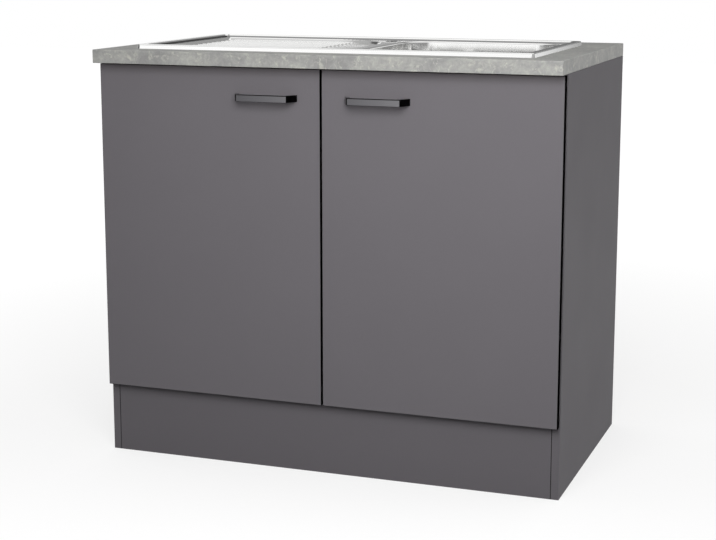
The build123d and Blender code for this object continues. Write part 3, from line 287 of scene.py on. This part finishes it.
def metal(name, colour, low, high, grain, stretch=(1, 1, 1), depth=0.02, mottle=0.0):
    """A plain metal with a directional or even grain, and an optional mottled plating."""
    s = Shade(name, Metallic=1.0)
    lines = s.noise(grain, 4.0, 0.6, s.stretched(*stretch))
    cloud = s.noise(40.0, 4.0, 0.6)
    tint = s.mix(s.span(s.math("ADD", lines, cloud), 0.7, 1.3), scaled(colour, METAL_DARKER - mottle), colour)
    wear = s.math("ADD", s.math("MULTIPLY", lines, 0.6), s.math("MULTIPLY", cloud, 0.4))
    return s.set(
        Base_Color=tint,
        Roughness=s.span(wear, 0.3, 0.7, low, high),
        Normal=s.bump(lines, depth * MM, 0.5),
    )


def handle_metal():
    """Black handles whose flat front is brushed grey metal inside a black edge; the grey carries a painted
    reflection, paler to the right, and the black edge is widened with painted dark reflection along the flat's
    top and at its left end.
    """
    s = Shade("handle_metal", Metallic=1.0)
    brushing = s.noise(900.0, 4.0, 0.6, s.stretched(0.04, 1.0, 1.0))
    cloud = s.noise(60.0, 3.0, 0.5)
    (left_low, left_high), (right_low, right_high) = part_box("left_handle"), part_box("right_handle")
    whole = right_high[0] - left_low[0]
    across = s.axis(s.place, "X")
    # painted reflection: darker at each handle's left end, paler at its right end
    grey = s.ramp(
        s.span(across, left_low[0], right_high[0]),
        (0.0, srgb(82, 81, 84)),
        ((left_high[0] - left_low[0]) / whole, srgb(116, 115, 118)),
        ((right_low[0] - left_low[0]) / whole, srgb(96, 95, 98)),
        (1.0, srgb(128, 127, 130)),
    )
    grey = s.mix(s.span(brushing, 0.3, 0.7, 0.0, 0.3), grey, srgb(104, 103, 106))
    lacquer = s.ramp(cloud, (0.3, srgb(16)), (0.7, srgb(24)))
    # black lacquer off the flat front, and painted dark reflection in strips along its top and around its left
    # end
    front = s.math("LESS_THAN", s.axis(s.facing, "Y"), -0.93)
    below = s.math("LESS_THAN", s.axis(s.place, "Z"), left_high[2] - HANDLE_TOP_DARK_REFLECTION)
    front = s.math("MULTIPLY", front, below)
    for low, high in ((left_low[0], left_high[0]), (right_low[0], right_high[0])):
        flat_start = (low + high - HANDLE_FLAT) / 2
        away = s.math("ABSOLUTE", s.math("SUBTRACT", across, flat_start))
        front = s.math("MULTIPLY", front, s.math("GREATER_THAN", away, HANDLE_END_DARK_REFLECTION))
    return s.set(
        Base_Color=s.mix(front, lacquer, grey),
        Roughness=s.span(s.math("ADD", brushing, cloud), 0.7, 1.3, 0.06, 0.1),
        Normal=s.bump(brushing, POLISH_RELIEF, 0.4),
    )


def plastic(name, colour, low, high, skin=0.03, **fixed):
    """Moulded plastic or rubber: a slightly uneven skin and colour."""
    s = Shade(name, IOR=1.48, **fixed)
    peel = s.noise(420.0, 3.0, 0.55)
    cloud = s.noise(30.0, 4.0, 0.6)
    blotches = s.span(s.math("ADD", peel, cloud), 0.7, 1.3)
    return s.set(
        Base_Color=s.mix(blotches, scaled(colour, PLASTIC_DARKER), colour),
        Roughness=s.span(cloud, 0.3, 0.7, low, high),
        Normal=s.bump(peel, skin * MM, 0.5),
    )


def sink_steel():
    """Satin stainless steel with a fine lengthwise polish, and painted shade darkening the crease at the foot
    of its rim.
    """
    s = Shade("sink_steel", Metallic=1.0)
    lines = s.noise(900.0, 4.0, 0.65, s.stretched(0.03, 1.0, 1.0))
    cloud = s.noise(12.0, 4.0, 0.6)
    tint = s.ramp(lines, (0.25, srgb(240, 240, 239)), (0.75, srgb(247, 247, 246)))
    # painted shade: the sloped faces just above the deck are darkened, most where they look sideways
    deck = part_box("sink")[1][2] - RIM_RISE
    height = s.axis(s.place, "Z")
    upward = s.axis(s.facing, "Z")
    sloped = s.math("MULTIPLY", s.math("GREATER_THAN", upward, 0.5), s.math("LESS_THAN", upward, 0.85))
    crease = s.math("MULTIPLY", sloped, s.math("GREATER_THAN", height, deck))
    crease = s.math("MULTIPLY", crease, s.span(height, deck + CREASE_SHADE_FULL, deck + CREASE_SHADE_END, 1.0, 0.0))
    dark = s.mix(cut_edges(s, "+X", "-X", least=0.5), srgb(140), srgb(70))
    tint = s.mix(crease, tint, dark)
    rough = s.math("ADD", s.span(lines, 0.3, 0.7, 0.06, 0.1), s.span(cloud, 0.3, 0.7, 0.0, 0.03))
    return s.set(Base_Color=tint, Roughness=rough, Normal=s.bump(lines, POLISH_RELIEF, 0.5))


def hardboard():
    """Thin fibreboard: grey lacquer on the room side, bare brown fibres behind."""
    s = Shade("hardboard", IOR=1.45)
    fibres = s.noise(700.0, 5.0, 0.7, s.stretched(1.0, 1.0, 0.4), warp=0.5)
    inputs = {"Vector": s.place, "Scale": 260.0, "Distortion": 0.5}
    wave = s.node("TexWave", inputs, bands_direction="Z").outputs["Fac"]
    bare = cut_edges(s, "+Y", "+Z", "-Z")
    brown = s.ramp(fibres, (0.3, srgb(96, 68, 44)), (0.7, srgb(146, 110, 74)))
    front = s.mix(s.span(fibres, 0.3, 0.7), srgb(196, 195, 193), srgb(204, 203, 201))
    weave = s.math("MULTIPLY", s.math("MULTIPLY", wave, bare), 0.6)
    return s.set(
        Base_Color=s.mix(bare, front, brown),
        Roughness=s.span(s.math("ADD", bare, fibres), 0.3, 1.7, 0.5, 0.9),
        Normal=s.bump(s.math("ADD", fibres, weave), FIBRE_RELIEF, 0.5),
    )


def beech():
    """Turned beech with short dark pores."""
    s = Shade("beech", IOR=1.45, Roughness=0.6)
    grain = s.noise(260.0, 5.0, 0.65, s.stretched(0.12, 1.0, 1.0), warp=0.8)
    tone = s.ramp(grain, (0.3, srgb(176, 132, 88)), (0.5, srgb(206, 166, 118)), (0.75, srgb(222, 188, 142)))
    return s.set(Base_Color=tone, Normal=s.bump(grain, PORE_RELIEF, 0.6))


# ---------------------------------------------------------------- materials
BODY_TONE = srgb(103, 100, 104)
DOOR_TONE = srgb(108, 105, 109)
MILKY = {"Subsurface_Weight": 0.08, "Subsurface_Scale": 0.002}
MATERIALS = {
    "side_board": board("side_board", BODY_TONE, ("+Y", "-Z")),
    "inner_board": board("inner_board", BODY_TONE, ("+Y", "+X", "-X")),
    "rail_board": board("rail_board", BODY_TONE, ("+X", "-X", "+Z")),
    "plinth_board": board("plinth_board", BODY_TONE, ("+X", "-X")),
    # the doors' edges are painted near black as shade
    "door_board": board("door_board", DOOR_TONE, shade_edges=("+X", "-X", "+Z", "-Z")),
    "hardboard": hardboard(),
    # one laminate in three copies with painted light: the worktop's top darkened, the front strip darkened,
    # the side strips lightened
    "worktop_laminate": concrete("worktop_laminate", 0.8, ("+Y", "-Z")),
    "edge_laminate": concrete("edge_laminate", 0.86),
    "side_edge_laminate_painted_lighter": concrete("side_edge_laminate_painted_lighter", 1.1),
    "sink_steel": sink_steel(),
    "polished_steel": metal("polished_steel", srgb(226, 226, 226), 0.08, 0.16, 500.0, depth=0.006),
    "handle_metal": handle_metal(),
    "zinc_steel": metal("zinc_steel", srgb(196, 198, 204), 0.28, 0.45, 300.0, mottle=0.08),
    "hinge_steel": metal("hinge_steel", srgb(206, 202, 196), 0.18, 0.3, 400.0, (1, 0.1, 1)),
    "cast_zinc": metal("cast_zinc", srgb(176, 176, 178), 0.4, 0.6, 500.0, depth=0.08, mottle=0.05),
    "white_plastic": plastic("white_plastic", srgb(232, 232, 228), 0.3, 0.42, **MILKY),
    "hose_plastic": plastic("hose_plastic", srgb(206, 208, 210), 0.38, 0.5),
    "black_rubber": plastic("black_rubber", srgb(30, 30, 31), 0.6, 0.78, skin=0.06),
    "seal_foam": plastic("seal_foam", srgb(62, 62, 64), 0.85, 0.97, skin=0.25),
    "beech": beech(),
    # near black plastic for the thin strips of painted shade on the door edges and plinth ends
    "edge_shade_band": plastic("edge_shade_band", srgb(7), 0.8, 0.9, Specular_IOR_Level=0.0),
    "clear_buffer": plastic("clear_buffer", srgb(214, 216, 218), 0.2, 0.3, Transmission_Weight=0.55),
}
NODE_MATERIALS = {
    "side_panel_left": "side_board",
    "side_panel_right": "side_board",
    "bottom_panel": "inner_board",
    "front_rail": "rail_board",
    "rear_rail": "rail_board",
    "plinth_board": "plinth_board",
    "worktop_side_strips": "side_edge_laminate_painted_lighter",
}
SLOT_OF = {part["node"]: part["material_slot"] for part in frame["record"]["subparts"]}


def dress(piece, material):
    """Puts one material in every slot of a piece."""
    if not piece.material_slots:
        piece.data.materials.append(MATERIALS[material])
    for own in piece.material_slots:
        own.material = MATERIALS[material]


for node_name, node in NODES.items():
    dress(node, NODE_MATERIALS.get(node_name, SLOT_OF[node_name]))


# ---------------------------------------------------------------- black edge strips of painted shade
def edge_shade_band(board_name, body, axes, thickness):
    """A thin black band of painted shade on a board's outer edges, grown outwards from the board's own edge
    faces.
    """
    low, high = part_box(board_name)
    shell = bmesh.new()
    shell.from_mesh(NODES[board_name].data)

    def on_edge(face):
        place = face.calc_center_median()
        outer = [axis for axis in axes if min(place[axis] - low[axis], high[axis] - place[axis]) < BAND_DEPTH]
        return any(abs(face.normal[axis]) > BAND_FACING for axis in outer)

    bmesh.ops.delete(shell, geom=[face for face in shell.faces if not on_edge(face)], context="FACES")
    bmesh.ops.remove_doubles(shell, verts=shell.verts, dist=WELD)
    mesh = bpy.data.meshes.new(board_name + "_band")
    shell.to_mesh(mesh)
    shell.free()
    mesh.materials.append(MATERIALS["edge_shade_band"])
    band = bpy.data.objects.new(board_name + "_band", mesh)
    SCENE.collection.objects.link(band)
    solid = band.modifiers.new("thickness", "SOLIDIFY")
    solid.thickness = thickness
    solid.offset = 1.0
    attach(band, body)


ACROSS, UP = 0, 2
# the doors get a thin black band of painted shade round their edges
edge_shade_band("left_door", "left_door_leaf", (ACROSS, UP), DOOR_SHADE_BAND)
edge_shade_band("right_door", "right_door_leaf", (ACROSS, UP), DOOR_SHADE_BAND)
# a black lip of painted shade fills the plinth's end gaps, where only shade would show
edge_shade_band("plinth_board", "cabinet", (ACROSS,), PLINTH_SHADE_LIP)


# ---------------------------------------------------------------- floor
def shader_tree(owner):
    """A maker of linked nodes in the emptied node tree of a material or a world."""
    owner.use_nodes = True
    tree = owner.node_tree
    tree.nodes.clear()

    def make(kind, inputs=(), **settings):
        made = tree.nodes.new("ShaderNode" + kind)
        for key, value in settings.items():
            setattr(made, key, value)
        for key, value in dict(inputs).items():
            if isinstance(value, bpy.types.NodeSocket):
                tree.links.new(value, made.inputs[key])
            else:
                made.inputs[key].default_value = value
        return made

    return make


FLOOR_REACH = 12.0
NEAR, FAR = 0.9, 3.0
NEAR_GLOW, FAR_GLOW = 0.7, 0.88
FLOOR_PAINT = (0.3, 0.3, 0.3, 1)

floor_mesh = bpy.data.meshes.new("floor")
floor_mesh.from_pydata(
    [(x * FLOOR_REACH, y * FLOOR_REACH, 0) for x, y in ((-1, -1), (1, -1), (1, 1), (-1, 1))],
    [],
    [(0, 1, 2, 3)],
)
floor = bpy.data.objects.new("floor", floor_mesh)
SCENE.collection.objects.link(floor)

# a grey floor that keeps the shadow, and glows for rays that look at the background:
# from the camera, by reflection or through glass
floor_material = bpy.data.materials.new("floor")
make = shader_tree(floor_material)
centre = make("VectorMath", {0: make("TexCoord").outputs["Object"]}, operation="LENGTH").outputs["Value"]
reach = {"Value": centre, "From Min": NEAR, "From Max": FAR, "To Min": NEAR_GLOW, "To Max": FAR_GLOW}
white = make("MapRange", reach).outputs[0]
seen = make("LightPath").outputs
plain = make("Math", {0: seen["Is Camera Ray"], 1: seen["Is Glossy Ray"]}, operation="MAXIMUM").outputs[0]
viewed = make("Math", {0: plain, 1: seen["Is Transmission Ray"]}, operation="MAXIMUM").outputs[0]
strength = make("Math", {0: white, 1: viewed}, operation="MULTIPLY").outputs[0]
paint = make("BsdfDiffuse", {"Color": FLOOR_PAINT})
glow = make("Emission", {"Color": WHITE, "Strength": strength})
both = make("AddShader", {0: paint.outputs[0], 1: glow.outputs[0]})
make("OutputMaterial", {"Surface": both.outputs[0]})
floor.data.materials.append(floor_material)

# ---------------------------------------------------------------- world
# brightness of the studio in reflections, by degrees from straight behind the unit to its right,
# in three rings of walls one above the other
LOW_WALLS = (
    *((-180, 1.0), (-157, 1.0), (-150, 0.45), (-135, 0.28), (-112, 0.12), (-75, 0.1), (-55, 0.9)),
    *((-30, 0.8), (-23, 0.67), (-21.3, 0.57), (-20.4, 0.4), (-19, 0.32), (-15.6, 0.26), (-13.4, 0.16)),
    *((-2, 0.05), (12.4, 0.1), (13.1, 0.88), (50, 0.88), (60, 0.25), (158, 0.25), (170, 1.0)),
)
MIDDLE_WALLS = (
    *((-180, 1.0), (-140, 1.0), (-130, 0.1), (-40, 0.1), (-10, 0.3)),
    *((60, 0.3), (80, 0.4), (158, 0.4), (170, 1.0)),
)
HIGH_WALLS = (
    *((-180, 0.65), (-150, 0.5), (-110, 0.42), (-30, 0.36), (-10, 0.26)),
    *((60, 0.26), (80, 0.42), (158, 0.45), (170, 0.65)),
)
WALL_LIGHT = 1.12
CEILING = 1.12
ZENITH = 0.55
AMBIENT_FRONT = 0.14
AMBIENT_BACK = 0.95

world = bpy.data.worlds.new("studio")
SCENE.world = world
make = shader_tree(world)
way = make("SeparateXYZ", {0: make("TexCoord").outputs["Generated"]}).outputs
turn = make("Math", {0: way["X"], 1: way["Y"]}, operation="ARCTAN2").outputs[0]
around = make("MapRange", {"Value": turn, "From Min": -math.pi, "From Max": math.pi}).outputs[0]


def plain_light(shade):
    """White light of one strength from everywhere."""
    return make("Background", {"Color": WHITE, "Strength": shade}).outputs[0]


def studio_walls(stops):
    """A ring of walls around the unit, as a colour ramp over the direction."""
    walls = make("ValToRGB", {"Fac": around})
    ring = walls.color_ramp.elements
    while len(ring) < len(stops):
        ring.new(0.5)
    for element, (degrees, shade) in zip(ring, stops):
        element.position = (degrees + 180) / 360
        element.color = (shade, shade, shade, 1)
    return make("Background", {"Color": walls.outputs[0], "Strength": WALL_LIGHT}).outputs[0]


def rising(low, high):
    """0 below one height of the direction and 1 above another."""
    return make("MapRange", {"Value": way["Z"], "From Min": low, "From Max": high}).outputs[0]


# from each first height to the second, what is below gives way to the light named after them
studio = studio_walls(LOW_WALLS)
for low, high, above in (
    (0.15, 0.2, studio_walls(MIDDLE_WALLS)),
    (0.34, 0.38, studio_walls(HIGH_WALLS)),
    (0.6, 0.85, plain_light(CEILING)),
    (0.975, 0.995, plain_light(ZENITH)),
):
    studio = make("MixShader", {0: rising(low, high), 1: studio, 2: above}).outputs[0]

# soft light that grows from the front to the back, the studio in reflections, and a white background
sky = make("MapRange", {"Value": way["Y"], "From Min": -1.0, "To Min": AMBIENT_FRONT, "To Max": AMBIENT_BACK})
seen = make("LightPath").outputs
lit = make("MixShader", {0: seen["Is Glossy Ray"], 1: plain_light(sky.outputs[0]), 2: studio}).outputs[0]
direct, through_glass = seen["Is Camera Ray"], seen["Is Transmission Ray"]
viewed = make("Math", {0: direct, 1: through_glass}, operation="MAXIMUM").outputs[0]
shown = make("MixShader", {0: viewed, 1: lit, 2: plain_light(1.0)})
make("OutputWorld", {"Surface": shown.outputs[0]})


# ---------------------------------------------------------------- lamps
def soft_light(name, place, target, size, power):
    """A large square studio lamp that looks at a target."""
    lamp = bpy.data.lights.new(name, "AREA")
    lamp.shape = "SQUARE"
    lamp.size = size
    lamp.energy = power
    made = bpy.data.objects.new(name, lamp)
    made.location = place
    made.rotation_mode = "QUATERNION"
    made.rotation_quaternion = (Vector(target) - Vector(place)).to_track_quat("-Z", "Y")
    made.visible_camera = False
    made.visible_glossy = False
    SCENE.collection.objects.link(made)


soft_light("key", place=(0.5, -1.75, 1.45), target=(0.03, 0, 0.66), size=1.2, power=33)
soft_light("fill", place=(-3.4, 0.6, 1.6), target=(-0.3, 0, 0.5), size=2.0, power=12)
soft_light("side", place=(2.6, 0.5, 1.9), target=(0.5, 0, 0.7), size=1.5, power=6)

# ---------------------------------------------------------------- camera
CAMERA_PLACE = (1.1586, -3.2410, 1.0895)
LOOKS_DOWN = 10.49
TURNED = 19.97

camera_data = bpy.data.cameras.new("camera")
camera_data.lens = 79.82
camera_data.sensor_width = 36.0
camera_data.shift_y = -0.04
camera_data.clip_end = 60.0
camera = bpy.data.objects.new("camera", camera_data)
camera.location = CAMERA_PLACE
camera.rotation_euler = (math.radians(90 - LOOKS_DOWN), 0, math.radians(TURNED))
SCENE.collection.objects.link(camera)
SCENE.camera = camera

SCENE.view_settings.view_transform = "Standard"
